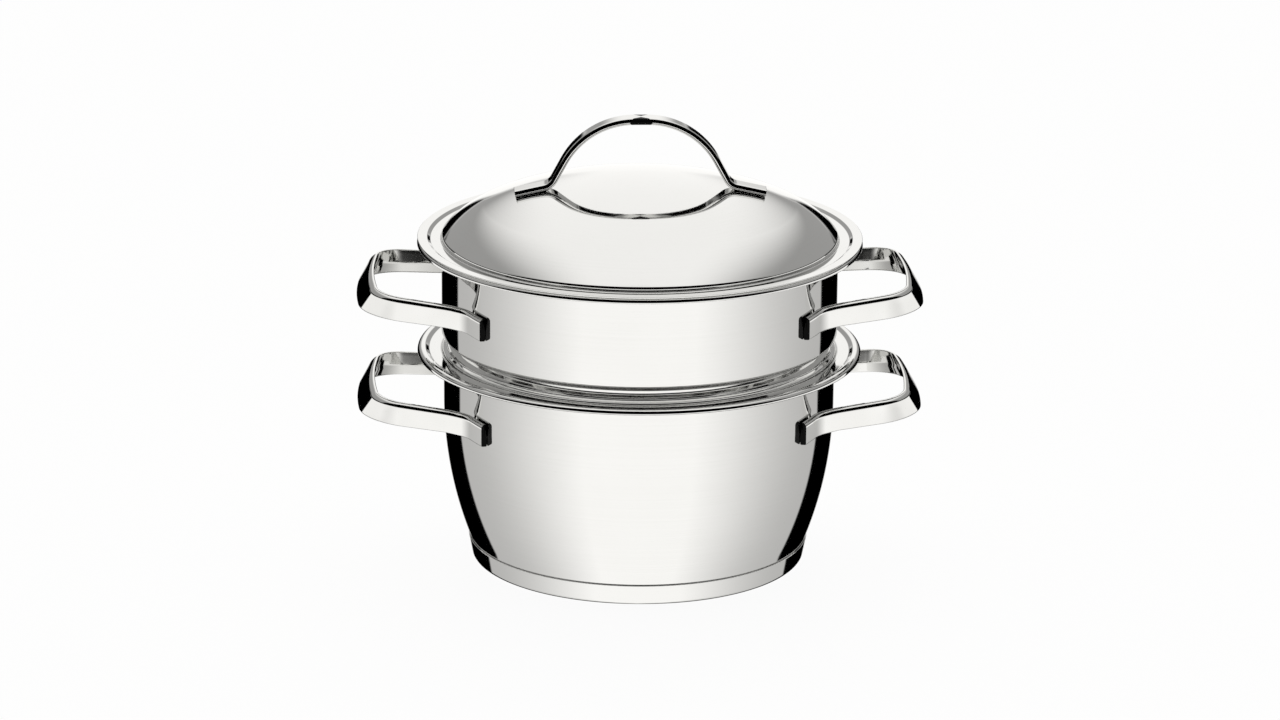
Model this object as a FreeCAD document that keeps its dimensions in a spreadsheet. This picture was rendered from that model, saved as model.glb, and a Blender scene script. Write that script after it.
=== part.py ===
import FreeCAD, Part
import math
import os
import re
import Sketcher
from FreeCAD import Rotation, Vector

# Two-tier couscous steamer of polished stainless steel: a bellied pot on a capped sandwich
# base, a perforated steamer that sits in its mouth, and a domed lid that fits either rim.
# Millimetres. The origin is on the axis, at the underside of the base, with +Z up.

# Driving dimensions
SIZES = {
    # pot, outside of the sheet
    "potHeight": 111.3,
    "potWallRadius": 99.65,
    "potSheet": 0.8,
    "potFloorRadius": 84.5,
    "potFloorCorner": 5.0,
    "potBellyHeight": 47.7,
    "potBellyRun": 35.2054,
    # capped base
    "capSheet": 0.6,
    "capHeight": 10.8,
    "capTaper": 2.1,
    "capCorner": 2.5,
    "capGap": 0.15,
    "discThickness": 5.4,
    "discGap": 0.4,
    # rim, the same on the pot and on the steamer
    "rimWidth": 13.35,
    "rimLedge": 7.95,
    "rimStep": 0.9,
    "rimStepWidth": 2.1,
    "rimStepBend": 1.6,
    "rimFlare": 2.6,
    "rimLipRadius": 2.0,
    "rimLipSkirt": 0.3,
    # steamer section
    "steamerProud": 1.0,
    "steamerSheet": 0.7,
    "steamerRise": 56.8,
    "steamerDepth": 14.5,
    "steamerFloorCorner": 4.0,
    "spigotGap": 0.9,
    "beadReach": 3.4,
    "beadHalf": 1.8,
    "beadRadius": 1.1,
    "beadRoot": 0.9,
    "seatGap": 0.1,
    "shoulderLift": 7.6,
    "shoulderSlope": 1.7,
    "shoulderRadius": 1.4,
    "holeRadius": 3.0,
    "holePitch": 17.0,
    # lid
    "lidSheet": 0.7,
    "lidGap": 0.1,
    "lidInset": 0.2,
    "lidStepInset": 1.4,
    "lidCollarWidth": 1.05,
    "lidCollarHeight": 2.3,
    "lidCollarBend": 0.7,
    "domeRise": 28.6,
    "domeFlat": 0.4,
    "domeCrownReach": 24.0,
    "domeShoulderReach": 63.3,
    "domeShoulderDrop": 6.2,
    "domeShoulderRadius": 150.0,
    "domeKnuckleInset": 9.6,
    "domeKnuckleDrop": 16.9,
    "domeKnuckleRadius": 54.0,
    # looped strap handles
    "handleThickness": 3.5,
    "handleHeight": 11.5,
    "handleReach": 145.0,
    "handleHalfWidth": 42.5,
    "handleEndInset": 4.0,
    "handleEndRadius": 240.0,
    "handleLean": 6.5,
    "handleCorner": 13.0,
    "handleBend": 8.0,
    "handleWeb": 4.6,
    "handleRise": 9.6,
    "handleNeckRise": 4.3,
    "handleNeckReach": 97.0,
    "handleNeckBend": 25.0,
    "footAngle": 35.3,
    "footHalfAngle": 2.2,
    "footTail": 1.0,
    "weldGap": 0.1,
    "potHandleDrop": 23.9,
    "steamerHandleDrop": 25.7,
    "handleRound": 2.4,
    "handleEase": 0.7,
    # lid handle
    "archRise": 34.1,
    "archThickness": 3.3,
    "archWidth": 11.0,
    "archCrown": 28.2,
    "archCrownRadius": 42.0,
    "archLegReach": 46.4,
    "archFootBend": 6.0,
    "archFootMiddle": 56.5,
    "archFootEnd": 64.0,
    "archEase": 1.55,
}
RINGS = 4

doc = FreeCAD.newDocument("steamer")
sheet = doc.addObject("Spreadsheet::Sheet", "dims")
for row, (alias, value) in enumerate(SIZES.items(), start=1):
    sheet.set("A%d" % row, alias)
    sheet.set("B%d" % row, str(value))
    sheet.setAlias("B%d" % row, alias)
doc.recompute()


def bound(text):
    """Turn plain size names in a formula into references to the sheet's cells."""
    return re.sub(r"[A-Za-z]\w*", lambda m: "dims." + m.group() if m.group() in SIZES else m.group(), text)


def value(text):
    return float(sheet.evalExpression(bound(text)))


def bind(thing, prop, text):
    thing.setExpression(prop, bound(text))


def pin(sketch, geo, pos, name, x_text, y_text):
    """Hold one sketch point at x and y formulas, measured from the sketch's origin."""
    for kind, text, axis in (("DistanceX", x_text, "x"), ("DistanceY", y_text, "y")):
        index = sketch.addConstraint(Sketcher.Constraint(kind, -1, 1, geo, pos, value(text)))
        sketch.renameConstraint(index, axis + name)
        bind(sketch, "Constraints." + axis + name, text)


def round_corner(before, corner, after, radius):
    """The arc that rounds a corner: its geometry, both tangent points and its turn."""
    back = (before - corner).normalize()
    ahead = (after - corner).normalize()
    half = back.getAngle(ahead) / 2
    start = corner + back * (radius / math.tan(half))
    end = corner + ahead * (radius / math.tan(half))
    centre = corner + (back + ahead).normalize() * (radius / math.sin(half))
    turns_left = (corner - before).cross(after - corner).z > 0
    first, last = (start, end) if turns_left else (end, start)
    low = math.atan2(first.y - centre.y, first.x - centre.x)
    high = math.atan2(last.y - centre.y, last.x - centre.x)
    if high < low:
        high += 2 * math.pi
    circle = Part.Circle(centre, Vector(0, 0, 1), radius)
    return Part.ArcOfCircle(circle, low, high), start, end, turns_left


def outline(name, corners, upright=True, height="0"):
    """An open sketch of straight runs, with arcs at the corners that have a radius.

    Each corner is (x, y) or (x, y, radius), as formulas of the sheet's sizes. An upright
    sketch lies in the XZ plane, and a flat one lies parallel to XY at the given height.
    """
    sketch = doc.addObject("Sketcher::SketchObject", name)
    if upright:
        sketch.Placement = FreeCAD.Placement(Vector(), Rotation(Vector(1, 0, 0), 90))
    else:
        sketch.Placement = FreeCAD.Placement(Vector(0, 0, value(height)), Rotation())
        bind(sketch, "Placement.Base.z", height)
    points = [Vector(value(corner[0]), value(corner[1]), 0) for corner in corners]
    last = len(points) - 1
    leaves = list(points)
    arrives = list(points)
    arcs = {}
    for i in range(1, last):
        if len(corners[i]) == 3:
            arc = round_corner(points[i - 1], points[i], points[i + 1], value(corners[i][2]))
            arcs[i] = arc
            arrives[i], leaves[i] = arc[1], arc[2]
    runs = [sketch.addGeometry(Part.LineSegment(leaves[i], arrives[i + 1]), False) for i in range(last)]
    pin(sketch, runs[0], 1, "0", *corners[0][:2])
    for i in range(1, last):
        if i in arcs:
            arc, start, end, turns_left = arcs[i]
            bend = sketch.addGeometry(arc, False)
            enter, leave = (1, 2) if turns_left else (2, 1)
            sketch.addConstraint(Sketcher.Constraint("Tangent", runs[i - 1], 2, bend, enter))
            sketch.addConstraint(Sketcher.Constraint("Tangent", bend, leave, runs[i], 1))
            index = sketch.addConstraint(Sketcher.Constraint("Radius", bend, value(corners[i][2])))
            sketch.renameConstraint(index, "r%d" % i)
            bind(sketch, "Constraints.r%d" % i, corners[i][2])
            tip = sketch.addGeometry(Part.Point(points[i]), True)
            sketch.addConstraint(Sketcher.Constraint("PointOnObject", tip, 1, runs[i - 1]))
            sketch.addConstraint(Sketcher.Constraint("PointOnObject", tip, 1, runs[i]))
            pin(sketch, tip, 1, str(i), *corners[i][:2])
        else:
            sketch.addConstraint(Sketcher.Constraint("Coincident", runs[i - 1], 2, runs[i], 1))
            pin(sketch, runs[i], 1, str(i), *corners[i][:2])
    pin(sketch, runs[-1], 2, str(last), *corners[last][:2])
    return sketch


def thicken(name, sketch, thickness):
    """Give an open outline the sheet's or strap's thickness. A minus sign picks the right-hand side."""
    face = doc.addObject("Part::Offset2D", name)
    face.Source = sketch
    face.Mode = "Skin"
    face.Fill = True
    face.Value = value(thickness)
    bind(face, "Value", thickness)
    return face


def spin(name, face):
    """Turn a sheet's section about the vessel's axis."""
    turned = doc.addObject("Part::Revolution", name)
    turned.Source = face
    turned.Axis = Vector(0, 0, 1)
    turned.Angle = 360
    turned.Solid = True
    return turned


def extrude_across(name, face, width):
    """Pull an upright section out both ways along Y."""
    block = doc.addObject("Part::Extrusion", name)
    block.Base = face
    block.Dir = Vector(0, 1, 0)
    block.DirMode = "Custom"
    block.Symmetric = True
    bind(block, "LengthFwd", width)
    block.Solid = True
    return block


def rim(top, sheet_name, wall):
    """Corners of a vessel's rim, on its underside: flare, ledge, step up and a lip turned down."""
    ledge = f"{top} - rimStep - {sheet_name}"
    return [
        (wall, ledge, "rimFlare"),
        (STEP_FOOT, ledge, "rimStepBend"),
        (f"{STEP_FOOT} + rimStepWidth", f"{top} - {sheet_name}", "rimStepBend"),
        (f"{RIM} - {sheet_name}", f"{top} - {sheet_name}", f"rimLipRadius - {sheet_name}"),
        (f"{RIM} - {sheet_name}", f"{top} - rimLipRadius - rimLipSkirt"),
    ]


# Levels and radii that several pieces share
FLOOR = "(capSheet + discThickness)"
BELLY_SLOPE = f"((potWallRadius - potFloorRadius) / (potBellyHeight - {FLOOR}))"
BELLY_RADIUS = f"(potBellyRun / tan(atan({BELLY_SLOPE}) / 2))"
CAP_TOP = f"(potFloorRadius + (capHeight - {FLOOR}) * {BELLY_SLOPE} + capGap + capSheet)"
RIM = "(potWallRadius + rimWidth)"
STEP_FOOT = "(potWallRadius + rimLedge)"
MOUTH = "(potWallRadius - potSheet)"
SPIGOT = f"({MOUTH} - spigotGap)"
SEAT_ROUND = "(rimFlare + potSheet)"
BEAD_LEAN = "(beadReach^2 + beadHalf^2)^0.5"
BEAD_CENTRE = f"({SPIGOT} + beadReach - beadRadius * {BEAD_LEAN} / beadHalf)"
SEAT_RUN = f"({MOUTH} + {SEAT_ROUND} - {BEAD_CENTRE})"
SEAT_RISE = f"(((beadRadius + {SEAT_ROUND} + seatGap)^2 - {SEAT_RUN}^2)^0.5)"
BEAD = f"(potHeight - rimStep - {SEAT_ROUND} + {SEAT_RISE})"
STEAMER_WALL = "(potWallRadius + steamerProud)"
STEAMER_TOP = "(potHeight + steamerRise)"
LID_LEDGE = f"({STEAMER_TOP} - rimStep + lidGap + lidSheet)"
LID_TOP = f"({STEAMER_TOP} + lidGap + lidSheet)"
COLLAR_TOP = f"({LID_LEDGE} + lidCollarHeight)"
COLLAR = "(potWallRadius + lidCollarWidth)"
KNUCKLE = f"({COLLAR} - domeKnuckleInset)"
APEX = f"({LID_TOP} + domeRise - lidSheet)"
CROWN_TURN = "atan(domeShoulderDrop / (domeShoulderReach - domeCrownReach))"
CROWN_RADIUS = f"((domeCrownReach - domeFlat) / tan({CROWN_TURN} / 2))"
SHOULDER_FALL = f"atan((domeKnuckleDrop - domeShoulderDrop) / ({KNUCKLE} - domeShoulderReach))"
SHOULDER_RUN = f"(domeShoulderRadius * tan(({SHOULDER_FALL} - {CROWN_TURN}) / 2))"


def make_pot():
    corners = [
        ("0", FLOOR),
        ("potFloorRadius", FLOOR, "potFloorCorner"),
        ("potWallRadius", "potBellyHeight", BELLY_RADIUS),
    ]
    line = outline("pot_line", corners + rim("potHeight", "potSheet", "potWallRadius"))
    return {"pot_body": spin("pot_shell", thicken("pot_section", line, "potSheet"))}


def make_base():
    foot = f"{CAP_TOP} - capTaper"
    line = outline("cap_line", [("0", "0"), (foot, "0", "capCorner"), (CAP_TOP, "capHeight")])
    cap = spin("cap_shell", thicken("cap_section", line, "capSheet"))
    disc = doc.addObject("Part::Cylinder", "heat_disc")
    bind(disc, "Radius", f"{foot} - capCorner - discGap")
    bind(disc, "Height", "discThickness")
    bind(disc, "Placement.Base.z", "capSheet")
    return {"pot_base_cap": cap, "pot_heat_disc": disc}


def make_steamer():
    corners = [
        ("0", "potHeight - steamerDepth"),
        (SPIGOT, "potHeight - steamerDepth", "steamerFloorCorner"),
        (SPIGOT, f"{BEAD} - beadHalf", "beadRoot"),
        (f"{SPIGOT} + beadReach", BEAD, "beadRadius"),
        (SPIGOT, f"{BEAD} + beadHalf", "beadRoot"),
        (SPIGOT, "potHeight + shoulderLift - shoulderSlope", "shoulderRadius"),
        (STEAMER_WALL, "potHeight + shoulderLift", "shoulderRadius"),
    ]
    line = outline("steamer_line", corners + rim(STEAMER_TOP, "steamerSheet", STEAMER_WALL))
    shell = spin("steamer_shell", thicken("steamer_section", line, "steamerSheet"))
    doc.recompute()
    body = doc.addObject("PartDesign::Body", "steamer")
    body.BaseFeature = shell
    doc.recompute()
    plane = [item for item in body.Origin.OriginFeatures if item.Role == "XY_Plane"][0]
    for ring in range(RINGS + 1):
        hole = body.newObject("Sketcher::SketchObject", "hole_%d" % ring)
        hole.AttachmentSupport = [(plane, "")]
        hole.MapMode = "FlatFace"
        circle = hole.addGeometry(Part.Circle(Vector(value(f"{ring} * holePitch"), 0, 0),
                                              Vector(0, 0, 1), value("holeRadius")), False)
        pin(hole, circle, 3, "centre", f"{ring} * holePitch", "0")
        index = hole.addConstraint(Sketcher.Constraint("Radius", circle, value("holeRadius")))
        hole.renameConstraint(index, "radius")
        bind(hole, "Constraints.radius", "holeRadius")
        cut = body.newObject("PartDesign::Pocket", "cut_%d" % ring)
        cut.Profile = hole
        cut.Reversed = True
        bind(cut, "Length", "potHeight")
        doc.recompute()
        if ring:
            pattern = body.newObject("PartDesign::PolarPattern", "ring_%d" % ring)
            pattern.Originals = [cut]
            pattern.Axis = (hole, ["N_Axis"])
            pattern.Angle = 360
            pattern.Occurrences = 6 * ring
            body.Tip = pattern
            doc.recompute()
    return {"steamer_body": body}


def make_lid():
    step = f"{STEP_FOOT} - lidStepInset"
    line = outline("lid_line", [
        ("0", APEX),
        ("domeCrownReach", APEX, CROWN_RADIUS),
        ("domeShoulderReach", f"{APEX} - domeShoulderDrop", "domeShoulderRadius"),
        (KNUCKLE, f"{APEX} - domeKnuckleDrop", "domeKnuckleRadius"),
        (COLLAR, f"{LID_LEDGE} + lidCollarHeight", "lidCollarBend + lidSheet / 2"),
        (COLLAR, LID_LEDGE, "lidCollarBend"),
        (step, LID_LEDGE, "rimStepBend"),
        (f"{step} + rimStepWidth", LID_TOP, "rimStepBend"),
        (f"{RIM} - lidInset", LID_TOP),
    ])
    return {"lid_shell": spin("lid_dome", thicken("lid_section", line, "-lidSheet"))}


def make_lid_handle():
    """One strap bent into an arch, with feet that lie along the dome's shoulder."""
    centre_reach = (f"(domeShoulderReach - {SHOULDER_RUN} * cos({CROWN_TURN})"
                    f" - domeShoulderRadius * sin({CROWN_TURN}))")
    centre_level = (f"({APEX} - domeShoulderDrop + {SHOULDER_RUN} * sin({CROWN_TURN})"
                    f" - domeShoulderRadius * cos({CROWN_TURN}))")
    tilt = f"asin((archFootMiddle - {centre_reach}) / domeShoulderRadius)"
    lift = "(domeShoulderRadius + weldGap + archThickness)"
    foot_level = f"{centre_level} + {lift} * cos({tilt})"
    foot_middle = f"({centre_reach} + {lift} * sin({tilt}))"

    def on_foot(reach):
        return f"{foot_level} - ({reach} - {foot_middle}) * tan({tilt})"

    right = [
        ("archCrown", f"{APEX} + archRise", "archCrownRadius"),
        ("archLegReach", on_foot("archLegReach"), "archFootBend"),
        ("archFootEnd", on_foot("archFootEnd")),
    ]
    left = [("-(" + corner[0] + ")",) + corner[1:] for corner in reversed(right)]
    section = thicken("arch_section", outline("arch_line", left + right), "-archThickness")
    arch = extrude_across("arch_bar", section, "archWidth")
    return {"lid_handle": ease("arch", arch, [("archEase", edges_on_flanks)])}


def edges_on_flanks(shape):
    """Edges that run the length of an arch, where its faces meet its flat flanks."""
    shortest = value("archThickness") * 1.2
    return ["Edge%d" % number for number, edge in enumerate(shape.Edges, start=1)
            if edge.BoundBox.YLength < 0.001 and edge.Length > shortest]


def edges_of_strap(shape, outer_top_only):
    """Edges that run the length of a looped strap, as seen from the middle of its loop."""
    middle = Vector(value(f"{STEAMER_WALL} + handleBend"), 0, 0)
    shortest = value("handleThickness") * 1.3
    names = []
    for number, edge in enumerate(shape.Edges, start=1):
        if edge.Length < shortest:
            continue
        point = edge.valueAt((edge.FirstParameter + edge.LastParameter) / 2)
        normals = [face.normalAt(*face.Surface.parameter(point))
                   for face in shape.ancestorsOfType(edge, Part.Face)]
        level = [normal for normal in normals if abs(normal.z) > 0.75]
        side = [normal for normal in normals if abs(normal.z) < 0.65]
        if len(level) != 1 or len(side) != 1:
            continue
        outward = point - middle
        outward.z = 0
        if not outer_top_only or (level[0].z > 0 and side[0].dot(outward) > 0):
            names.append("Edge%d" % number)
    return names


def ease(name, solid, rounds):
    """Wrap a bar in a body and round its long edges, one size after another."""
    doc.recompute()
    body = doc.addObject("PartDesign::Body", name)
    body.BaseFeature = solid
    doc.recompute()
    for size, choose in rounds:
        base = body.Tip
        fillet = body.newObject("PartDesign::Fillet", f"{name}_{size}")
        fillet.Base = (base, choose(base.Shape))
        bind(fillet, "Radius", size)
        body.Tip = fillet
        doc.recompute()
    return body


def make_side_handles(vessel, wall, foot_top):
    """Looped strap whose feet follow the wall, whose arms rise and whose end leans out below."""
    outer = f"({wall} + weldGap + handleThickness)"
    tail = "(footAngle + footHalfAngle)"
    heel = "(footAngle - footHalfAngle)"
    lowest = f"({foot_top} - handleHeight * 1.5)"
    highest = f"({foot_top} + handleRise + handleHeight * 0.5)"
    heel_x = f"({outer} * cos({heel}) + handleWeb * sin({heel}))"
    heel_y = f"({outer} * sin({heel}) - handleWeb * cos({heel}))"
    taper = f"(({heel_y} - handleHalfWidth) / (handleReach - handleEndInset - {heel_x}))"
    faces = []
    for level, height in (("low", lowest), ("high", highest)):
        lean = f"handleLean * ({highest} - handleHeight * 1.5 - {height}) / handleHeight"
        push = f"({lean} / (1 - handleEndInset / handleHalfWidth * {taper}))"
        half = [
            (f"{outer} * cos({tail}) - footTail * sin({tail})", f"{outer} * sin({tail}) + footTail * cos({tail})"),
            (f"{outer} / cos(footHalfAngle) * cos(footAngle)",
             f"{outer} / cos(footHalfAngle) * sin(footAngle)", outer),
            (heel_x, heel_y, "handleBend"),
            (f"handleReach - handleEndInset + {push}", f"handleHalfWidth - {taper} * {push}", "handleCorner"),
        ]
        front = [(corner[0], "-(" + corner[1] + ")") + corner[2:] for corner in half]
        middle = [(f"handleReach + {lean}", "0", "handleEndRadius")]
        line = outline(f"{vessel}_loop_{level}", front + middle + half[::-1], upright=False, height=height)
        faces.append(thicken(f"{vessel}_strap_{level}", line, "-handleThickness"))
    doc.recompute()
    loop = doc.addObject("Part::Loft", vessel + "_loop")
    loop.Sections = faces
    loop.Solid = True
    loop.Ruled = True
    rise = outline(vessel + "_rise", [
        (f"{wall} / 2", foot_top),
        ("handleNeckReach - 22", foot_top),
        ("handleNeckReach", f"{foot_top} + handleNeckRise", "handleNeckBend"),
        ("handleReach + handleLean", f"{foot_top} + handleRise"),
    ])
    band = extrude_across(vessel + "_band", thicken(vessel + "_side", rise, "-handleHeight"),
                          "handleHalfWidth * 4")
    strap = doc.addObject("Part::Common", vessel + "_strap")
    strap.Base = loop
    strap.Tool = band
    right = ease(vessel + "_grip", strap, [
        ("handleRound", lambda shape: edges_of_strap(shape, True)),
        ("handleEase", lambda shape: edges_of_strap(shape, False)),
    ])
    left = doc.addObject("Part::Mirroring", vessel + "_grip_left")
    left.Source = right
    left.Normal = Vector(1, 0, 0)
    return {vessel + "_handle_right": right, vessel + "_handle_left": left}


def check(parts):
    """Stop on a failed object, a sub-part that is not one sound solid, or a hole that cut nothing."""
    for item in doc.Objects:
        if "Invalid" in item.State or "Error" in item.State:
            raise RuntimeError(f"{item.Name} failed: {item.State}")
    for name, thing in parts.items():
        shape = thing.Shape
        if shape.isNull() or not shape.isValid() or len(shape.Solids) != 1:
            raise RuntimeError(f"{name} is not one valid solid")
        print(name, round(shape.Volume, 1), shape.optimalBoundingBox())
    holes = 1 + 3 * RINGS * (RINGS + 1)
    taken = doc.getObject("steamer_shell").Shape.Volume - parts["steamer_body"].Shape.Volume
    expected = holes * math.pi * value("holeRadius") ** 2 * value("steamerSheet")
    if abs(taken - expected) > expected / 100:
        raise RuntimeError(f"the holes took {taken}, not {expected}")


def main():
    parts = {}
    parts.update(make_pot())
    parts.update(make_base())
    parts.update(make_side_handles("pot", "potWallRadius", "(potHeight - potHandleDrop)"))
    parts.update(make_steamer())
    parts.update(make_side_handles("steamer", STEAMER_WALL, f"({STEAMER_TOP} - steamerHandleDrop)"))
    parts.update(make_lid())
    parts.update(make_lid_handle())
    doc.recompute()
    check(parts)
    os.makedirs("parts", exist_ok=True)
    for name, thing in parts.items():
        thing.Label = name
        thing.Shape.exportStep("parts/" + name + ".step")


main()
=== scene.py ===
import math
import bpy
import numpy as np
from mathutils import Matrix, Vector
from mathutils.geometry import delaunay_2d_cdt


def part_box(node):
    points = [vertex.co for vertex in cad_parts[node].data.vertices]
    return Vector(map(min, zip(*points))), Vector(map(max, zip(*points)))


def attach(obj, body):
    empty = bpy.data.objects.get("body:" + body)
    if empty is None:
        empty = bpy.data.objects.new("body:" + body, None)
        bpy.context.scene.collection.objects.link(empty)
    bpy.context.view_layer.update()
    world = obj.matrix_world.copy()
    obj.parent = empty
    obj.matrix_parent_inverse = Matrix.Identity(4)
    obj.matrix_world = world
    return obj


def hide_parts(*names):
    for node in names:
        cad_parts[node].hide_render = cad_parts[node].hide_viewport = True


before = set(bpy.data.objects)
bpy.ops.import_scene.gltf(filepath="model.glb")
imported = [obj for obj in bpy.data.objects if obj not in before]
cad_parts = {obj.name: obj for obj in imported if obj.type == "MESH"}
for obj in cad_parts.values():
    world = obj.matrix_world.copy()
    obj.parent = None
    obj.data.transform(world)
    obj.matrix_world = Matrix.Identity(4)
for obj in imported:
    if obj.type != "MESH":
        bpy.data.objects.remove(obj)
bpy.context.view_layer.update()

# Two-tier couscous steamer of mirror-polished stainless steel in a white studio.
# Shapes are worked out in millimetres and turned to metres when a mesh is made.

mm = 0.001


def boxOf(node):
    # lowest and highest corner of a CAD node, in millimetres
    low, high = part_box(node)
    return np.array(low) / mm, np.array(high) / mm


def linearColour(hexText):
    # sRGB hex to linear: below 0.04045 a straight line, above it a power of 2.4
    channels = [int(hexText[at:at + 2], 16) / 255 for at in (1, 3, 5)]
    return tuple(c / 12.92 if c <= 0.04045 else ((c + 0.055) / 1.055) ** 2.4 for c in channels) + (1.0,)


def plugIn(tree, node, name, source):
    # links an input to another node's socket, or sets it to a plain value
    if isinstance(source, bpy.types.NodeSocket):
        tree.links.new(source, node.inputs[name])
    else:
        node.inputs[name].default_value = source


def addNode(tree, kind, settings=None, links=None):
    # a node with its settings and its inputs
    node = tree.nodes.new(kind)
    for name, value in (settings or {}).items():
        setattr(node, name, value)
    for name, source in (links or {}).items():
        plugIn(tree, node, name, source)
    return node


def mathOf(tree, operation, first, second=0.0, third=0.0):
    node = addNode(tree, "ShaderNodeMath", {"operation": operation}, {0: first, 1: second, 2: third})
    return node.outputs["Value"]


def mixedValue(tree, factor, first, second):
    # first where the factor is 0, second where it is 1
    mix = addNode(tree, "ShaderNodeMix", {"data_type": "FLOAT"}, {"Factor": factor, "A": first, "B": second})
    return mix.outputs["Result"]


# Lines, sections and meshes

samePoint = 1e-5
endRings = 7


def unit(vectors):
    return vectors / np.linalg.norm(vectors, axis=-1, keepdims=True)


def roundedLine(corners, runPieces=6, arcPieces=14):
    # Straight runs joined by tangent arcs. A corner is (x, y) or (x, y, radius), and a round corner
    # is centre + radius * (cos, sin) with an even angle. Gives the points and their left normals.
    spots = [np.array(corner[:2], float) for corner in corners]
    points, lefts = [], []
    start = spots[0]
    for index in range(1, len(spots)):
        ahead = unit(spots[index] - spots[index - 1])
        left = np.array([-ahead[1], ahead[0]])
        stop, bend = spots[index], None
        if len(corners[index]) > 2:
            after = unit(spots[index + 1] - spots[index])
            turn = math.atan2(ahead[0] * after[1] - ahead[1] * after[0], float(ahead @ after))
            reach = corners[index][2] * math.tan(abs(turn) / 2)
            stop = spots[index] - ahead * reach
            angles = np.linspace(0, turn, arcPieces + 1)[1:-1, None]
            turned = left * np.cos(angles) - ahead * np.sin(angles)
            inwards = math.copysign(corners[index][2], turn)
            bend = stop + left * inwards - turned * inwards, turned
        shares = np.linspace(0, 1, runPieces + 1)[:, None]
        points.append(start + (stop - start) * shares)
        lefts.append(np.repeat(left[None], runPieces + 1, 0))
        if bend:
            points.append(bend[0])
            lefts.append(bend[1])
            start = spots[index] + after * reach
        else:
            start = spots[index]
    return np.vstack(points), np.vstack(lefts)


def sheetSection(corners, thickness, edge=0.22):
    # The closed section of a sheet: a line, a softly rounded cut end, and the line again, one
    # thickness to its left (or right, if negative). Gives points and outward normals.
    line, left = roundedLine(corners)
    towards = left * math.copysign(1, thickness)
    depth = abs(thickness)
    near, far = line.copy(), line + towards * depth
    side, end = towards[-1], line[-1]
    ahead = unit(line[-1] - line[-2])
    near[-1] -= ahead * edge
    far[-1] -= ahead * edge
    angles = np.linspace(0, math.pi / 2, 6)[1:, None]
    outNear = ahead * np.sin(angles) - side * np.cos(angles)
    outFar = ahead * np.cos(angles) + side * np.sin(angles)
    capNear = end - ahead * edge + side * edge + outNear * edge
    capFar = end - ahead * edge + side * (depth - edge) + outFar * edge
    capFar, outFar = capFar[:-1], outFar[:-1]
    points = np.vstack([near, capNear, capFar, far[::-1]])
    normals = np.vstack([-towards, outNear, outFar, towards[::-1]])
    keep = np.append(True, np.linalg.norm(np.diff(points, axis=0), axis=1) > samePoint)
    return points[keep], normals[keep]


def closedRing(corners):
    # The closed section of a strap, from corners whose first and last are the same point on a straight
    # side. Gives points and outward normals, without the points that fall together.
    points, lefts = roundedLine(corners, runPieces=3, arcPieces=8)
    keep = np.append(True, np.linalg.norm(np.diff(points, axis=0), axis=1) > samePoint)
    keep[-1] = False
    return points[keep], lefts[keep]


def finishMesh(name, points, faces, normals, slot, material, nodes):
    # Makes the piece, with its smooth normals as worked out, if any, and turns it outwards if its
    # volume is negative (the sum over triangles of a . (b x c)).
    flat = np.array([corner for face in faces for corner in (face if len(face) == 3 else
                     (face[0], face[1], face[2], face[0], face[2], face[3]))]).reshape(-1, 3)
    a, b, c = (points[flat[:, k]] for k in range(3))
    if np.einsum("ij,ij->", a, np.cross(b, c)) < 0:
        faces = [face[::-1] for face in faces]
    mesh = bpy.data.meshes.new(name)
    mesh.from_pydata((points * mm).tolist(), [], faces)
    mesh.validate()
    mesh.polygons.foreach_set("use_smooth", np.ones(len(mesh.polygons), bool))
    if normals is not None:
        mesh.normals_split_custom_set_from_vertices(normals.tolist())
    mesh.materials.append(material)
    piece = bpy.data.objects.new(name, mesh)
    bpy.context.scene.collection.objects.link(piece)
    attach(piece, "root")
    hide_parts(*nodes)
    return piece


def spinSection(section, normals, turns):
    # x = r cos a, y = r sin a, z = z for every point (r, z) of the section and every angle a.
    # A point on the axis becomes one vertex with a fan round it. Gives points, faces and normals.
    angles = np.arange(turns) * 2 * math.pi / turns
    axisEnds = section[0, 0] < 1e-6
    ring = section[1:-1] if axisEnds else section
    out = normals[1:-1] if axisEnds else normals
    count = len(ring)

    def carried(pairs):
        return np.stack([np.outer(np.cos(angles), pairs[:, 0]), np.outer(np.sin(angles), pairs[:, 0]),
                         np.repeat(pairs[None, :, 1], turns, 0)], axis=-1).reshape(-1, 3)

    points, outward = carried(ring), carried(out)
    here = np.arange(turns)[:, None] * count
    there = (np.arange(turns)[:, None] + 1) % turns * count
    along = np.arange(count - 1)[None]
    quads = np.stack([here + along, there + along, there + along + 1, here + along + 1], -1)
    faces = quads.reshape(-1, 4).tolist()
    if axisEnds:
        first, last = len(points), len(points) + 1
        points = np.vstack([points, [[0, 0, section[0, 1]], [0, 0, section[-1, 1]]]])
        outward = np.vstack([outward, [[0, 0, normals[0, 1]], [0, 0, normals[-1, 1]]]])
        faces += [[first, (k + 1) % turns * count, k * count] for k in range(turns)]
        faces += [[last, k * count + count - 1, (k + 1) % turns * count + count - 1] for k in range(turns)]
    return points, faces, outward


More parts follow.
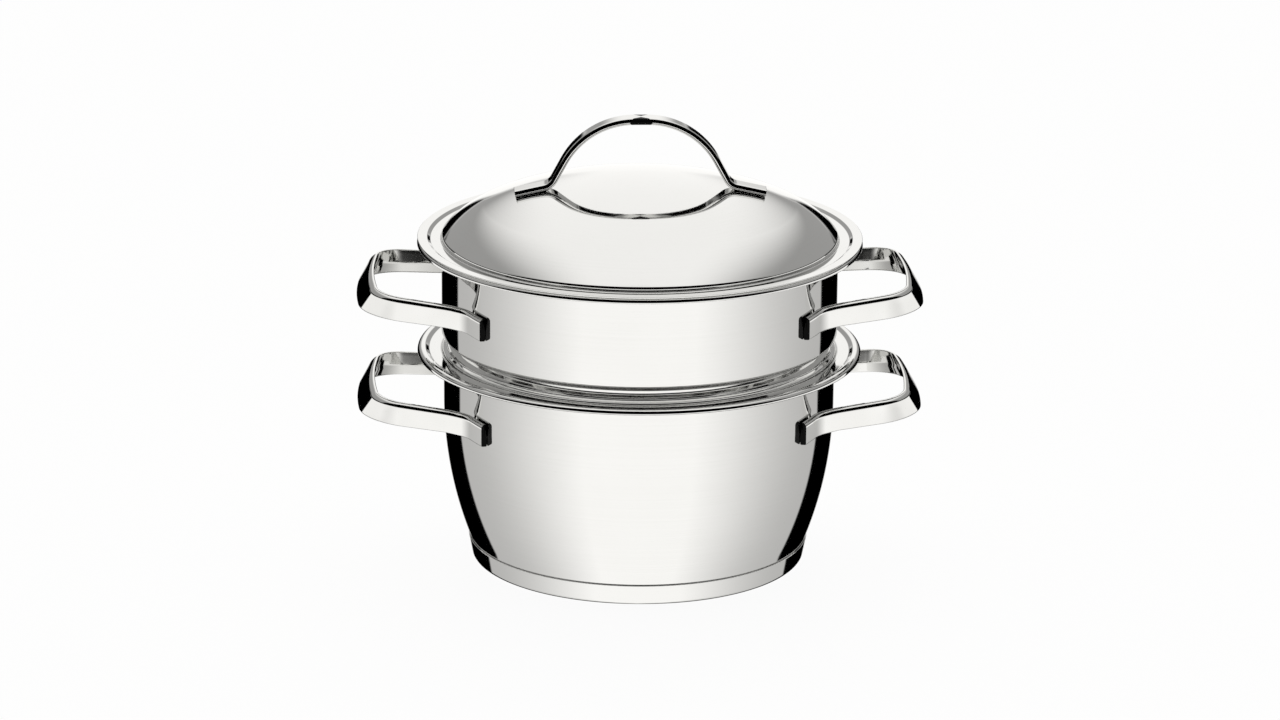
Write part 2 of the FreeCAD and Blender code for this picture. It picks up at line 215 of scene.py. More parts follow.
def sweptBar(grid):
    # Faces and normals of a bar given as rings of points [station, round, xyz], with a fan over
    # each end. The normal is the cross product of the two directions of the grid.
    stations, count = grid.shape[:2]
    along = np.gradient(grid, axis=0)
    around = np.roll(grid, -1, 1) - np.roll(grid, 1, 1)
    normals = np.cross(along, around)
    outward = grid - grid.mean(1, keepdims=True)
    if np.einsum("ijk,ijk->", normals, outward) < 0:
        normals = -normals
    normals = unit(normals)
    for end, beside in ((0, 1), (-1, -2)):
        normals[end] = unit(grid[end].mean(0) - grid[beside].mean(0))
    here = np.arange(stations - 1)[:, None] * count
    spot = np.arange(count)[None]
    turned = (spot + 1) % count
    quads = np.stack([here + spot, here + turned, here + count + turned, here + count + spot], -1)
    faces = quads.reshape(-1, 4).tolist()
    first, last = stations * count, stations * count + 1
    points = np.vstack([grid.reshape(-1, 3), grid[0].mean(0)[None], grid[-1].mean(0)[None]])
    outward = np.vstack([normals.reshape(-1, 3), normals[0, :1], normals[-1, :1]])
    base = (stations - 1) * count
    faces += [[first, (k + 1) % count, k] for k in range(count)]
    faces += [[last, base + k, base + (k + 1) % count] for k in range(count)]
    return points, faces, outward


def withRoundedEnds(shapeOf, ring, outward, edge):
    # Adds rings past both ends of a bar, each pushed out by edge * sin a and drawn in by
    # edge * (1 - cos a), so that its cut ends have a small round edge.
    body = shapeOf(ring)
    ends = []
    for end, beside in ((0, 1), (-1, -2)):
        push = unit(body[end].mean(0) - body[beside].mean(0))
        rings = [shapeOf(ring - outward * edge * (1 - math.cos(angle)))[end] + push * edge * math.sin(angle)
                 for angle in np.linspace(0, math.pi / 2, endRings)[1:]]
        ends.append(np.array(rings))
    return np.concatenate([ends[0][::-1], body, ends[1]])


# Materials

polish = {"colour": "#E6E6E5", "shade": "#DEDEDC", "roughness": 0.035, "roughnessSwing": 0.02, "haze": 28.0,
          "lineSpacing": 0.9, "lineDetail": 3.0, "bump": 0.012, "bumpDepth": 0.02}
# the strap's end shade colour is painted shade, near-black, for the shaded gap between the feet's cut ends
# and the wall
strapPolish = {"colour": "#E6E6E5", "shade": "#DCDCDA", "roughness": 0.045, "roughnessSwing": 0.02,
               "haze": 60.0, "grain": 1.4, "bump": 0.005, "bumpDepth": 0.02, "endShadeColour": "#1C1C1C",
               "cutRoughness": 0.5, "cutPlace": 0.8, "cutAngle": 37.5}
heatPlate = {"colour": "#C9CACB", "shade": "#B4B6B8", "roughness": 0.42, "rolling": 0.8, "stretch": 0.03,
             "bump": 0.2, "bumpDepth": 0.05}
hazeLow, hazeHigh, hazeDetail, grainDetail = 0.3, 0.7, 2.0, 4.0


def newMaterial(name):
    material = bpy.data.materials.new(name)
    material.use_nodes = True
    tree = material.node_tree
    tree.nodes.clear()
    shader = addNode(tree, "ShaderNodeBsdfPrincipled")
    addNode(tree, "ShaderNodeOutputMaterial", links={"Surface": shader.outputs["BSDF"]})
    return material, tree, shader


def noiseOf(tree, where, scale, detail):
    noise = addNode(tree, "ShaderNodeTexNoise", None, {"Vector": where, "Scale": scale, "Detail": detail})
    return noise.outputs["Fac"]


def mixedColour(tree, factor, first, second):
    # each colour is an sRGB hex or the socket of another node
    links = {"Factor": factor}
    for name, colour in (("A", first), ("B", second)):
        links[name] = linearColour(colour) if isinstance(colour, str) else colour
    mix = addNode(tree, "ShaderNodeMix", {"data_type": "RGBA"}, links)
    return mix.outputs["Result"]


def hazyGloss(tree, haze, finish):
    # roughness that swings with the haze
    spread = addNode(tree, "ShaderNodeMapRange", None,
                     {"Value": haze, "From Min": hazeLow, "From Max": hazeHigh, "To Min": finish["roughness"],
                      "To Max": finish["roughness"] + finish["roughnessSwing"]})
    return spread.outputs["Result"]


def fineBump(tree, height, finish):
    bump = addNode(tree, "ShaderNodeBump", None,
                   {"Strength": finish["bump"], "Distance": finish["bumpDepth"] * mm, "Height": height})
    return bump.outputs["Normal"]


def dressMetal(tree, shader, colour, roughness, normal):
    plugIn(tree, shader, "Base Color", colour)
    plugIn(tree, shader, "Roughness", roughness)
    plugIn(tree, shader, "Normal", normal)
    plugIn(tree, shader, "Metallic", 1.0)


def spunMirrorSteel():
    # Stainless 18/10 sheet, spun and buffed to a mirror: crisp reflections, with the faintest rings
    # left by the buffing wheel and a slight haze that comes and goes. The rings are a noise of
    # (distance from the axis, height).
    material, tree, shader = newMaterial("spunMirrorSteel")
    where = addNode(tree, "ShaderNodeTexCoord").outputs["Object"]
    split = addNode(tree, "ShaderNodeSeparateXYZ", None, {"Vector": where}).outputs
    flat = addNode(tree, "ShaderNodeCombineXYZ", None, {"X": split["X"], "Y": split["Y"]}).outputs["Vector"]
    reach = addNode(tree, "ShaderNodeVectorMath", {"operation": "LENGTH"}, {0: flat}).outputs["Value"]
    rings = addNode(tree, "ShaderNodeCombineXYZ", None, {"X": reach, "Z": split["Z"]}).outputs["Vector"]
    lines = noiseOf(tree, rings, 1 / (polish["lineSpacing"] * mm), polish["lineDetail"])
    haze = noiseOf(tree, where, polish["haze"], hazeDetail)
    shade = mathOf(tree, "MULTIPLY", lines, haze)
    colour = mixedColour(tree, shade, polish["colour"], polish["shade"])
    dressMetal(tree, shader, colour, hazyGloss(tree, haze, polish), fineBump(tree, lines, polish))
    return material


def buffedStrapSteel():
    # Bent stainless strap, tumbled and buffed by hand: as bright as the sheet, a shade softer in
    # its reflections and without rings. The sheared ends of the loops' feet are dull and carry painted
    # shade, near-black, for the shaded gap between each end and the wall: they are where
    # |y| cos a - |x| sin a passes a limit. That is the way along a foot that ends at angle a.
    material, tree, shader = newMaterial("buffedStrapSteel")
    where = addNode(tree, "ShaderNodeTexCoord").outputs["Object"]
    grain = noiseOf(tree, where, 1 / (strapPolish["grain"] * mm), grainDetail)
    haze = noiseOf(tree, where, strapPolish["haze"], hazeDetail)
    split = addNode(tree, "ShaderNodeSeparateXYZ", None, {"Vector": where}).outputs
    angle = math.radians(strapPolish["cutAngle"])
    partX = mathOf(tree, "MULTIPLY", mathOf(tree, "ABSOLUTE", split["X"]), -math.sin(angle))
    along = mathOf(tree, "MULTIPLY_ADD", mathOf(tree, "ABSOLUTE", split["Y"]), math.cos(angle), partX)
    endShadeMask = mathOf(tree, "GREATER_THAN", along, strapPolish["cutPlace"] * mm)
    buffed = mixedColour(tree, haze, strapPolish["colour"], strapPolish["shade"])
    # painted shade: the feet's cut ends are coloured near-black
    colour = mixedColour(tree, endShadeMask, buffed, strapPolish["endShadeColour"])
    gloss = mixedValue(tree, endShadeMask, hazyGloss(tree, haze, strapPolish), strapPolish["cutRoughness"])
    dressMetal(tree, shader, colour, gloss, fineBump(tree, grain, strapPolish))
    return material


def rolledAluminium():
    # Plain rolled aluminium plate, sealed in the base: dull grey with fine rolling lines along Y.
    material, tree, shader = newMaterial("rolledAluminium")
    where = addNode(tree, "ShaderNodeTexCoord").outputs["Object"]
    stretch = (1.0, heatPlate["stretch"], 1.0)
    drawn = addNode(tree, "ShaderNodeMapping", None, {"Vector": where, "Scale": stretch}).outputs["Vector"]
    lines = noiseOf(tree, drawn, 1 / (heatPlate["rolling"] * mm), grainDetail)
    colour = mixedColour(tree, lines, heatPlate["colour"], heatPlate["shade"])
    dressMetal(tree, shader, colour, heatPlate["roughness"], fineBump(tree, lines, heatPlate))
    return material


sheetSteel = spunMirrorSteel()
strapSteel = buffedStrapSteel()
plateAluminium = rolledAluminium()
print("materials made")


# Rims, the same on both vessels

rimSizes = {"width": 13.35, "ledge": 7.95, "step": 1.35, "stepWidth": 1.7, "stepBend": 0.8, "flare": 2.6,
            "lipRadius": 2.5, "lipSkirt": 0.1}


def rimCorners(top, sheet, wall, rimReach):
    # underside of a rim: flare, ledge, step up, and a lip that turns down
    ledge = top - rimSizes["step"] - sheet
    foot = rimReach - rimSizes["width"] + rimSizes["ledge"]
    return [(wall, ledge, rimSizes["flare"]),
            (foot, ledge, rimSizes["stepBend"]),
            (foot + rimSizes["stepWidth"], top - sheet, rimSizes["stepBend"]),
            (rimReach - sheet, top - sheet, rimSizes["lipRadius"] - sheet),
            (rimReach - sheet, top - rimSizes["lipRadius"] - rimSizes["lipSkirt"])]


# Pot and its base

potLow, potHigh = boxOf("pot_body")
capHigh = boxOf("pot_base_cap")[1]
potRim, potTop = potHigh[0], potHigh[2]
potWall = potRim - rimSizes["width"]

potSizes = {"sheet": 0.8, "floorRadius": 84.5, "floorCorner": 5.0, "bellyHeight": 47.7, "bellyRadius": 200.0,
            "turns": 240}


def makePot():
    floor = potLow[2]
    corners = [(0, floor),
               (potSizes["floorRadius"], floor, potSizes["floorCorner"]),
               (potWall, potSizes["bellyHeight"], potSizes["bellyRadius"])]
    corners += rimCorners(potTop, potSizes["sheet"], potWall, potRim)
    section, normals = sheetSection(corners, potSizes["sheet"])
    shape = spinSection(section, normals, potSizes["turns"])
    return finishMesh("potShell", *shape, "polished_steel", sheetSteel, ["pot_body"])


capSizes = {"sheet": 0.6, "taper": 2.1, "corner": 2.5, "height": 10.8, "turns": 240}


def makeBaseCap():
    # shallow pan pressed over the heat disc, with a rounded foot and a leaning wall
    reach = capHigh[0]
    corners = [(0, 0), (reach - capSizes["taper"], 0, capSizes["corner"]), (reach, capSizes["height"])]
    section, normals = sheetSection(corners, capSizes["sheet"])
    shape = spinSection(section, normals, capSizes["turns"])
    return finishMesh("baseCap", *shape, "polished_steel", sheetSteel, ["pot_base_cap"])


# Steamer with its perforated floor

steamerLow, steamerHigh = boxOf("steamer_body")
steamerTop = steamerHigh[2]
steamerSizes = {"sheet": 0.7, "proud": 1.0, "spigotGap": 0.9, "floorCorner": 4.0, "beadReach": 3.4,
                "beadHalf": 1.8, "beadRadius": 1.1, "beadRoot": 0.9, "seatGap": 0.1, "shoulderLift": 7.6,
                "shoulderSlope": 1.7, "shoulderRadius": 1.4, "holeRadius": 3.0, "holePitch": 17.0,
                "holeRings": 4, "holeSides": 28, "holeCover": 0.99, "floorEdge": 92.0, "turns": 216}


def beadHeight(spigot):
    # the bead's round tip rests, one seat gap off, on the rounded flare inside the pot's rim
    flare = rimSizes["flare"] + potSizes["sheet"]
    lean = math.hypot(steamerSizes["beadReach"], steamerSizes["beadHalf"])
    tip = spigot + steamerSizes["beadReach"] - steamerSizes["beadRadius"] * lean / steamerSizes["beadHalf"]
    run = potWall - potSizes["sheet"] + flare - tip
    rise = math.sqrt((steamerSizes["beadRadius"] + flare + steamerSizes["seatGap"]) ** 2 - run ** 2)
    return potTop - rimSizes["step"] - flare + rise


def perforatedFloor(low, high, edge, turns):
    # Flat plate between two levels: a disc cut by rings of round holes, 6 more in each ring. Both
    # faces come from one triangulation without the triangles whose middle is in a hole, and each
    # hole's wall is a band between its two circles.
    loops = [circlePoints(0, 0, edge, turns)]
    for ring in range(steamerSizes["holeRings"] + 1):
        holes = max(1, 6 * ring)
        for step in range(holes):
            angle = 2 * math.pi * step / holes
            reach = ring * steamerSizes["holePitch"]
            loops.append(circlePoints(reach * math.cos(angle), reach * math.sin(angle),
                                      steamerSizes["holeRadius"], steamerSizes["holeSides"]))
    flat = np.vstack(loops)
    starts = np.cumsum([0] + [len(loop) for loop in loops])
    rims = [list(range(starts[k], starts[k + 1])) for k in range(len(loops))]
    edges = [(rim[k], rim[(k + 1) % len(rim)]) for rim in rims for k in range(len(rim))]
    spots, _, triangles, _, _, _ = delaunay_2d_cdt([Vector(p) for p in flat], edges, [], 0, 1e-7)
    spots = np.array(spots)[:, :2]
    centres = spots[np.array(triangles)].mean(1)
    middles = np.array([loop.mean(0) for loop in loops[1:]])
    nearest = np.linalg.norm(centres[:, None] - middles[None], axis=2).min(1)
    covered = steamerSizes["holeRadius"] * steamerSizes["holeCover"]
    solid = [triangle for triangle, gap in zip(triangles, nearest) if gap > covered]
    count = len(spots)
    points = np.vstack([np.column_stack([spots, np.full(count, level)]) for level in (low, high)])
    faces = [list(triangle)[::-1] for triangle in solid]
    faces += [[corner + count for corner in triangle] for triangle in solid]
    for rim in rims[1:]:
        faces += [[rim[k], rim[k - 1], rim[k - 1] + count, rim[k] + count] for k in range(len(rim))]
    return points, faces


def circlePoints(x, y, radius, count):
    angles = np.arange(count) * 2 * math.pi / count
    return np.column_stack([x + radius * np.cos(angles), y + radius * np.sin(angles)])


def makeSteamer():
    sheet, wall = steamerSizes["sheet"], potWall + steamerSizes["proud"]
    spigot = potWall - potSizes["sheet"] - steamerSizes["spigotGap"]
    bead, shoulder = beadHeight(spigot), potTop + steamerSizes["shoulderLift"]
    floor = steamerLow[2]
    corners = [(steamerSizes["floorEdge"], floor),
               (spigot, floor, steamerSizes["floorCorner"]),
               (spigot, bead - steamerSizes["beadHalf"], steamerSizes["beadRoot"]),
               (spigot + steamerSizes["beadReach"], bead, steamerSizes["beadRadius"]),
               (spigot, bead + steamerSizes["beadHalf"], steamerSizes["beadRoot"]),
               (spigot, shoulder - steamerSizes["shoulderSlope"], steamerSizes["shoulderRadius"]),
               (wall, shoulder, steamerSizes["shoulderRadius"])]
    corners += rimCorners(steamerTop, sheet, wall, potWall + rimSizes["width"])
    section, normals = sheetSection(corners, sheet)
    turns = steamerSizes["turns"]
    points, faces, _ = spinSection(section, normals, turns)
    floorPoints, floorFaces = perforatedFloor(floor, floor + sheet, steamerSizes["floorEdge"], turns)
    faces += [[corner + len(points) for corner in face] for face in floorFaces]
    points = np.vstack([points, floorPoints])
    return finishMesh("steamerShell", points, faces, None, "polished_steel", sheetSteel, ["steamer_body"])


# Lid

lidHigh = boxOf("lid_shell")[1]
lidSizes = {"sheet": 0.7, "gap": 0.1, "stepInset": 1.4, "collarWidth": 1.05, "collarHeight": 2.3,
            "collarBend": 0.7, "domeBend": 2.2, "flat": 0.4, "crownReach": 24.0, "shoulderReach": 63.3,
            "shoulderDrop": 6.2, "shoulderRadius": 150.0, "knuckleInset": 9.6, "knuckleDrop": 16.9,
            "knuckleRadius": 54.0, "turns": 300}
collar = potWall + lidSizes["collarWidth"]
knuckle = collar - lidSizes["knuckleInset"]
# The dome's two slopes, and the arcs between them: an arc of radius r between lines that turn by t
# starts r * tan(t / 2) before their corner.
crownTurn = math.atan(lidSizes["shoulderDrop"] / (lidSizes["shoulderReach"] - lidSizes["crownReach"]))
crownRadius = (lidSizes["crownReach"] - lidSizes["flat"]) / math.tan(crownTurn / 2)
knuckleFall = lidSizes["knuckleDrop"] - lidSizes["shoulderDrop"]
shoulderTurn = math.atan(knuckleFall / (knuckle - lidSizes["shoulderReach"])) - crownTurn
shoulderRun = lidSizes["shoulderRadius"] * math.tan(shoulderTurn / 2)


def makeLid():
    apex, sheet = lidHigh[2], lidSizes["sheet"]
    top = steamerTop + lidSizes["gap"] + sheet
    ledge = top - rimSizes["step"]
    foot = potWall + rimSizes["ledge"] - lidSizes["stepInset"]
    corners = [(0, apex),
               (lidSizes["crownReach"], apex, crownRadius),
               (lidSizes["shoulderReach"], apex - lidSizes["shoulderDrop"], lidSizes["shoulderRadius"]),
               (knuckle, apex - lidSizes["knuckleDrop"], lidSizes["knuckleRadius"]),
               (collar, ledge + lidSizes["collarHeight"], lidSizes["domeBend"]),
               (collar, ledge, lidSizes["collarBend"]),
               (foot, ledge, rimSizes["stepBend"]),
               (foot + rimSizes["stepWidth"], top, rimSizes["stepBend"]),
               (lidHigh[0], top)]
    section, normals = sheetSection(corners, -sheet)
    shape = spinSection(section, normals, lidSizes["turns"])
    return finishMesh("lidShell", *shape, "polished_steel", sheetSteel, ["lid_shell"])


archLow, archHigh = boxOf("lid_handle")
archSizes = {"thickness": 3.3, "crown": 28.2, "crownRadius": 42.0, "legReach": 46.4, "footBend": 6.0,
             "footMiddle": 56.5, "weldGap": 0.1, "topInset": 1.25, "bellyDepth": 2.1, "underInset": 0.9,
             "topRound": 1.0, "bellyRound": 0.8, "underRound": 0.8, "endEdge": 0.3, "bendPieces": 22}


def archSection(depth, width):
    # The arch's section: a flat top at depth 0, and flanks that swell to the belly's depth and draw in
    # again underneath, every corner rounded.
    top, under, belly = archSizes["topInset"], archSizes["underInset"], archSizes["bellyDepth"]
    half = [(0, top, archSizes["topRound"]), (belly, 0, archSizes["bellyRound"]),
            (depth, under, archSizes["underRound"])]
    other = [(c[0], width - c[1], c[2]) for c in half]
    middle = (0, width / 2)
    return closedRing([middle] + other + half[::-1] + [middle])


def makeArch():
    # One strap bent into an arch in the XZ plane, whose feet lie along the dome's shoulder. A point is
    # line(s) minus the line's left normal times its depth, and its Y is its place across the strap.
    # The shoulder's arc has its middle at (bowReach, bowLevel) and the foot leans by the tilt.
    apex, top, bow = lidHigh[2], archHigh[2], lidSizes["shoulderRadius"]
    bowReach = lidSizes["shoulderReach"] - shoulderRun * math.cos(crownTurn) - bow * math.sin(crownTurn)
    bowLevel = apex - lidSizes["shoulderDrop"] + shoulderRun * math.sin(crownTurn) - bow * math.cos(crownTurn)
    tilt = math.asin((archSizes["footMiddle"] - bowReach) / bow)
    lift = bow + archSizes["weldGap"] + archSizes["thickness"]
    footLevel = bowLevel + lift * math.cos(tilt)
    footMiddle = bowReach + lift * math.sin(tilt)

    def onFoot(reach):
        return footLevel - (reach - footMiddle) * math.tan(tilt)

    end = archHigh[0] - archSizes["endEdge"] * math.cos(tilt)
    half = [(archSizes["crown"], top, archSizes["crownRadius"]),
            (archSizes["legReach"], onFoot(archSizes["legReach"]), archSizes["footBend"]),
            (end, onFoot(end))]
    whole = [(-c[0],) + c[1:] for c in half[::-1]] + half
    line, left = roundedLine(whole, arcPieces=archSizes["bendPieces"])
    width = archHigh[1] - archLow[1]
    ring, outward = archSection(archSizes["thickness"], width)

    def shapeOf(section):
        flat = line[:, None] - left[:, None] * section[None, :, :1]
        across = np.broadcast_to(section[None, :, 1] - width / 2, flat.shape[:2])
        return np.stack([flat[..., 0], across, flat[..., 1]], axis=-1)

    grid = withRoundedEnds(shapeOf, ring, outward, archSizes["endEdge"])
    return finishMesh("lidArch", *sweptBar(grid), "handle_steel", strapSteel, ["lid_handle"])


# Looped side handles

loopSizes = {"thickness": 3.5, "height": 11.5, "reach": 144.4, "halfWidth": 42.5, "endInset": 4.0,
             "endRadius": 240.0, "lean": 6.5, "corner": 27.0, "cornerGrowth": 9.0, "bend": 8.0, "web": 4.6,
             "rise": 9.6, "neckRise": 4.3, "neckReach": 97.0, "neckSlopeRun": 22.0, "neckBend": 25.0,
             "footAngle": 35.3, "footHalfAngle": 2.2, "footTail": 1.0, "weldGap": 0.1, "topInset": 1.4,
             "pastEnd": 19.5, "pastRise": 11.52, "outerTopRound": 2.7, "innerTaper": 1.4,
             "innerUpright": 0.42, "innerRound": 8.0, "flare": 1.0, "ease": 0.7, "endEdge": 0.3,
             "settleRounds": 5}


def loopLine(outer, depthShare):
    # Plan of the strap's outer face, from the front foot round to the rear one. depthShare is the
    # height below the bottom edge of the loop's end, in strap heights: by it the end leans outwards,
    # and its corners grow rounder.
    mid = math.radians(loopSizes["footAngle"])
    spread = math.radians(loopSizes["footHalfAngle"])
    tail, heel = mid + spread, mid - spread
    tailRun = loopSizes["footTail"] - loopSizes["endEdge"]
    heelX = outer * math.cos(heel) + loopSizes["web"] * math.sin(heel)
    heelY = outer * math.sin(heel) - loopSizes["web"] * math.cos(heel)
    cornerX = loopSizes["reach"] - loopSizes["endInset"]
    taper = (heelY - loopSizes["halfWidth"]) / (cornerX - heelX)
    lean = loopSizes["lean"] * depthShare
    push = lean / (1 - loopSizes["endInset"] / loopSizes["halfWidth"] * taper)
    cornerY = loopSizes["halfWidth"] - taper * push
    tailX = outer * math.cos(tail) - tailRun * math.sin(tail)
    tailY = outer * math.sin(tail) + tailRun * math.cos(tail)
    hug = outer / math.cos(spread)
    half = [(tailX, tailY),
            (hug * math.cos(mid), hug * math.sin(mid), outer),
            (heelX, heelY, loopSizes["bend"]),
            (cornerX + push, cornerY, loopSizes["corner"] + loopSizes["cornerGrowth"] * depthShare)]
    front = [(c[0], -c[1]) + c[2:] for c in half]
    end = [(loopSizes["reach"] + lean, 0, loopSizes["endRadius"])]
    return roundedLine(front + end + half[::-1], runPieces=8, arcPieces=20)


def makeLoop(name, node, wall, mirrored):
    # The strap's plan is drawn at two levels and blended by height, which makes its end lean; its
    # band rises from the feet to the end and grows by the flare, half at each edge:
    # plan = low + (high - low) * share, and
    # level = foot + bottom(x) + (top(x) - bottom(x)) * up + flare * reach * (up - 1 / 2).
    # The share depends on the level and the level on the plan's x, so they settle in a few rounds.
    low, high = boxOf(node)
    height, thick = loopSizes["height"], loopSizes["thickness"]
    topRun = [(0, 0), (loopSizes["neckReach"] - loopSizes["neckSlopeRun"], 0)]
    topRun += [(loopSizes["neckReach"], loopSizes["neckRise"], loopSizes["neckBend"]),
               (loopSizes["reach"] + loopSizes["lean"], loopSizes["rise"]),
               (loopSizes["reach"] + loopSizes["pastEnd"], loopSizes["pastRise"])]
    upper, upperLeft = roundedLine(topRun, runPieces=1, arcPieces=20)
    lower = upper - upperLeft * height
    farOut = max(abs(low[0]), abs(high[0]))
    crest = farOut - loopSizes["lean"] - loopSizes["topInset"]
    footTop = high[2] - np.interp(crest, upper[:, 0], upper[:, 1])
    outer = wall + loopSizes["weldGap"] + thick
    highest, lowest = footTop + loopSizes["rise"], footTop + loopSizes["rise"] - height
    lines = [loopLine(outer, share) for share in (0.0, -1.0)]

    def shapeOf(section):
        depth, up = section[None, :, 0], section[None, :, 1] / height
        plans = [line[:, None] + left[:, None] * depth[..., None] for line, left in lines]
        share = 0.5
        for _ in range(loopSizes["settleRounds"]):
            plan = plans[0] + (plans[1] - plans[0]) * share
            bottom = np.interp(plan[..., 0], lower[:, 0], lower[:, 1])
            top = np.interp(plan[..., 0], upper[:, 0], upper[:, 1])
            reach = np.clip((plan[..., 0] - loopSizes["neckReach"]) / (farOut - loopSizes["neckReach"]), 0, 1)
            level = footTop + bottom + (top - bottom) * up + loopSizes["flare"] * reach * (up - 0.5)
            share = ((level - lowest) / (highest - lowest))[..., None]
        return np.concatenate([plan, level[..., None]], axis=-1)

    ease, middle = loopSizes["ease"], (thick / 2, 0)
    ring, outward = closedRing([middle, (0, 0, ease), (0, height, loopSizes["outerTopRound"]),
                                (thick - loopSizes["innerTaper"], height, ease),
                                (thick, height * loopSizes["innerUpright"], loopSizes["innerRound"]),
                                (thick, 0, ease), middle])
    grid = withRoundedEnds(shapeOf, ring, outward, loopSizes["endEdge"])
    if mirrored:
        grid = grid * np.array([-1, 1, 1])
    return finishMesh(name, *sweptBar(grid), "handle_steel", strapSteel, [node])


makePot()
makeBaseCap()
print("pot made")
makeSteamer()
print("steamer made")
makeLid()
makeArch()
print("lid made")
for side, mirrored in (("right", False), ("left", True)):
    for vessel, wall in (("pot", potWall), ("steamer", potWall + steamerSizes["proud"])):
        makeLoop(vessel + "Strap" + side.title(), vessel + "_handle_" + side, wall, mirrored)
print("side handles made")

# The disc inside the base keeps its CAD shape and gets its finish.
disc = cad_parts["pot_heat_disc"]
disc.data.materials.clear()
disc.data.materials.append(plateAluminium)


# Studio: a white floor, a sky that stands for the softboxes and the dark room, and the camera.
# Sky and camera are both turned from the object's own front by these degrees.

studioTurn = 2.5
studio = {"floorSize": 40.0, "floorGlow": 1.04, "floorMatt": "#FFFFFF", "floorShare": 0.1,
          "skyColour": "#FFFEFC", "leastHeight": 0.001,
          "ceilingBright": 1.10, "ceilingEdge": 0.38, "ceilingFull": 0.25, "ceilingEnd": 1.1,
          "ceilingOut": 3.4, "ceilingOutSoft": 0.4, "sweepTop": 0.09, "sweepSoft": 0.04,
          "sweepSide": 0.722, "sweepGain": 0.375, "sweepCurve": 0.225, "sweepMost": 1.195,
          "horizonGlow": 1.12, "horizonLow": -0.28, "horizonHigh": -0.15,
          "backSpread": 1.15, "backSoft": 0.03, "backTop": 0.176, "backSlope": 0.6, "backLeast": 0.09,
          "backTopSoft": 0.015, "stripSpread": 0.16, "stripSoft": 0.02,
          "frontLean": 0.36, "frontSoft": 0.02}


def makeFloor():
    # Nearly all glow, with enough matt white to show the object's soft shadow. Reflections pass
    # through it to the sky below the horizon, which stands for the pale sweep.
    size = studio["floorSize"] / 2
    mesh = bpy.data.meshes.new("floor")
    corners = [(-size, -size, 0), (size, -size, 0), (size, size, 0), (-size, size, 0)]
    mesh.from_pydata(corners, [], [(0, 1, 2, 3)])
    material = bpy.data.materials.new("paleFloor")
    material.use_nodes = True
    tree = material.node_tree
    tree.nodes.clear()
    glow = addNode(tree, "ShaderNodeEmission", None, {"Strength": studio["floorGlow"]})
    matt = addNode(tree, "ShaderNodeBsdfDiffuse", None, {"Color": linearColour(studio["floorMatt"])})
    mix = addNode(tree, "ShaderNodeMixShader", None,
                  {0: studio["floorShare"], 1: glow.outputs["Emission"], 2: matt.outputs["BSDF"]})
    addNode(tree, "ShaderNodeOutputMaterial", None, {"Surface": mix.outputs["Shader"]})
    mesh.materials.append(material)
    floor = bpy.data.objects.new("floor", mesh)
    bpy.context.scene.collection.objects.link(floor)
    floor.visible_glossy = False


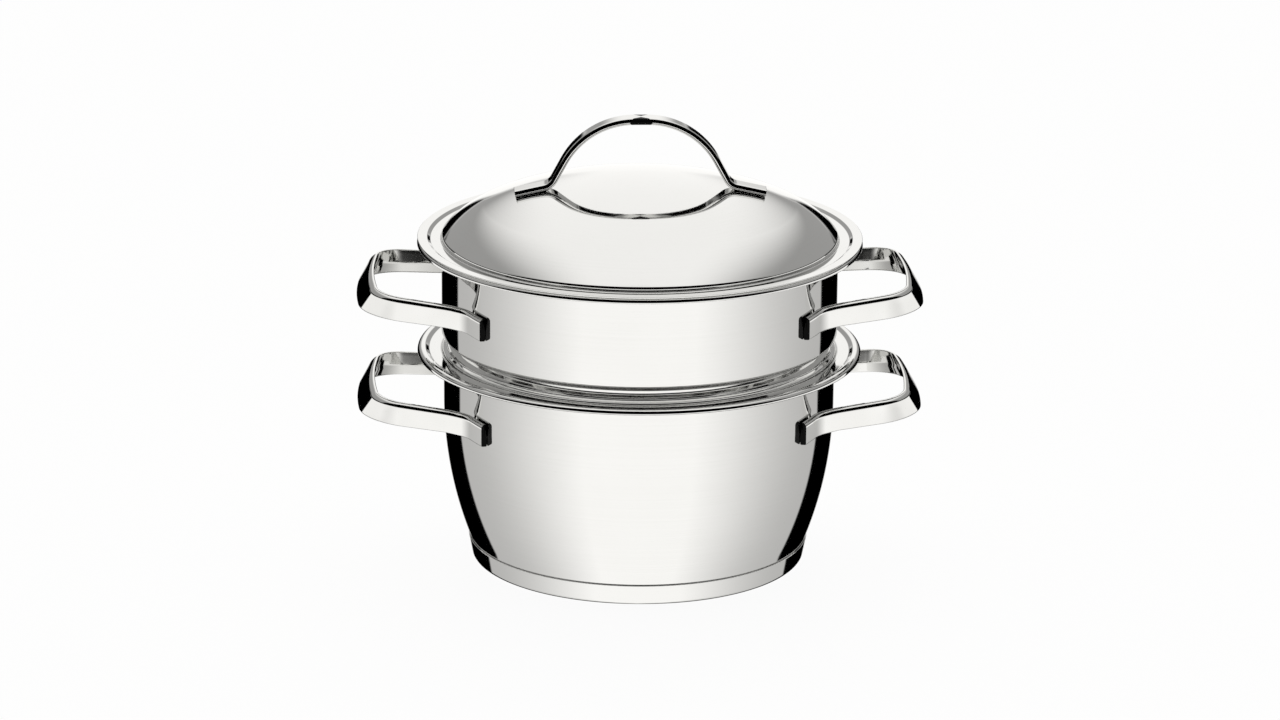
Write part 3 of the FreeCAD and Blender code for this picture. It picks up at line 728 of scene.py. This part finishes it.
def makeSky():
    # Brightness by direction. Overhead is a long softbox that fades to both sides; below the horizon
    # the pale sweep is brightest towards the camera; the room behind the object and the space over
    # the camera are dark. The camera itself sees plain white.
    world = bpy.data.worlds.new("studioSky")
    bpy.context.scene.world = world
    world.use_nodes = True
    tree = world.node_tree
    tree.nodes.clear()

    def step(operation, first, second=0.0, third=0.0):
        return mathOf(tree, operation, first, second, third)

    def ramp(value, low, high, first=0.0, last=1.0):
        node = addNode(tree, "ShaderNodeMapRange", {"interpolation_type": "SMOOTHSTEP"},
                       {"Value": value, "From Min": low, "From Max": high, "To Min": first, "To Max": last})
        return node.outputs["Result"]

    def past(first, second, softness):
        # 1 where the first value is well above the second, 0 where it is well below
        return ramp(step("SUBTRACT", first, second), -softness, softness)

    where = addNode(tree, "ShaderNodeTexCoord").outputs["Generated"]
    turned = addNode(tree, "ShaderNodeVectorRotate", {"rotation_type": "Z_AXIS"},
                     {"Vector": where, "Angle": math.radians(studioTurn)}).outputs["Vector"]
    split = addNode(tree, "ShaderNodeSeparateXYZ", None, {"Vector": turned})
    x, y, z = (split.outputs[axis] for axis in "XYZ")
    sideways = step("ABSOLUTE", x)
    # softbox: bright up to a slope |x| / z, fading to its edge colour, and ending further out
    spreadOut = step("DIVIDE", sideways, step("MAXIMUM", z, studio["leastHeight"]))
    box = ramp(spreadOut, studio["ceilingFull"], studio["ceilingEnd"],
               studio["ceilingBright"], studio["ceilingEdge"])
    boxEdge = ramp(spreadOut, studio["ceilingOut"] - studio["ceilingOutSoft"],
                   studio["ceilingOut"] + studio["ceilingOutSoft"], 1.0, 0.0)
    ceiling = step("MULTIPLY", box, boxEdge)
    # sweep: side + t * (gain + curve * t), t from -1 straight back to 1 towards the camera, and a
    # glow of its own near the horizon
    flatLength = step("SQRT", step("SUBTRACT", 1.0, step("MULTIPLY", z, z)))
    forwards = step("MULTIPLY", y, -1.0)
    towardsCamera = step("DIVIDE", forwards, step("MAXIMUM", flatLength, studio["leastHeight"]))
    slope = step("MULTIPLY_ADD", towardsCamera, studio["sweepCurve"], studio["sweepGain"])
    low = step("MULTIPLY_ADD", towardsCamera, slope, studio["sweepSide"])
    nearHorizon = ramp(z, studio["horizonLow"], studio["horizonHigh"])
    sweep = mixedValue(tree, nearHorizon, step("MINIMUM", low, studio["sweepMost"]), studio["horizonGlow"])
    overHorizon = past(z, studio["sweepTop"], studio["sweepSoft"])
    whole = mixedValue(tree, overHorizon, sweep, ceiling)
    # dark room behind: within 49 degrees of straight back, but for a pale strip in its middle, up to
    # a line that falls to the sides
    inBack = past(step("MULTIPLY", y, studio["backSpread"]), sideways, studio["backSoft"])
    line = step("MULTIPLY_ADD", sideways, -studio["backSlope"], studio["backTop"])
    underLine = past(step("MAXIMUM", line, studio["backLeast"]), z, studio["backTopSoft"])
    strip = past(step("MULTIPLY", y, studio["stripSpread"]), sideways, studio["stripSoft"])
    behind = step("MULTIPLY", step("MULTIPLY", inBack, underLine), step("SUBTRACT", 1.0, strip))
    # dark space over the camera: in front, from about 5 degrees up to the softbox's front edge
    inFront = past(step("MULTIPLY", z, -studio["frontLean"]), y, studio["frontSoft"])
    above = step("MULTIPLY", inFront, overHorizon)
    lit = step("MULTIPLY", step("SUBTRACT", 1.0, behind), step("SUBTRACT", 1.0, above))
    seen = addNode(tree, "ShaderNodeLightPath").outputs["Is Camera Ray"]
    strength = mixedValue(tree, seen, step("MULTIPLY", whole, lit), 1.0)
    glow = addNode(tree, "ShaderNodeBackground", None,
                   {"Color": linearColour(studio["skyColour"]), "Strength": strength})
    addNode(tree, "ShaderNodeOutputWorld", None, {"Surface": glow.outputs["Background"]})


view = {"tilt": 17.0, "turn": studioTurn, "roll": 0.45, "aimHeight": 102.6, "distance": 2724.0, "lens": 150.0,
        "sensor": 36.0, "imageWidth": 1280, "centreShift": 1.0}


def makeCamera():
    # The camera looks down by the tilt at a point on the axis. Its own axes are written straight into
    # its matrix, turned by the roll; the picture's centre is one pixel off the axis.
    tilt, turn, roll = (math.radians(view[name]) for name in ("tilt", "turn", "roll"))
    ahead = Vector((math.sin(turn), math.cos(turn), 0))
    across = Vector((math.cos(turn), -math.sin(turn), 0))
    forward = ahead * math.cos(tilt) - Vector((0, 0, math.sin(tilt)))
    up = ahead * math.sin(tilt) + Vector((0, 0, math.cos(tilt)))
    right = across * math.cos(roll) + up * math.sin(roll)
    top = up * math.cos(roll) - across * math.sin(roll)
    place = Vector((0, 0, view["aimHeight"])) - forward * view["distance"]
    data = bpy.data.cameras.new("camera")
    data.lens = view["lens"]
    data.sensor_width = view["sensor"]
    data.shift_x = view["centreShift"] / view["imageWidth"]
    camera = bpy.data.objects.new("camera", data)
    matrix = Matrix((right, top, -forward)).transposed().to_4x4()
    matrix.translation = place * mm
    camera.matrix_world = matrix
    bpy.context.scene.collection.objects.link(camera)
    bpy.context.scene.camera = camera


makeFloor()
makeSky()
makeCamera()
bpy.context.scene.view_settings.view_transform = "Standard"
print("studio made")
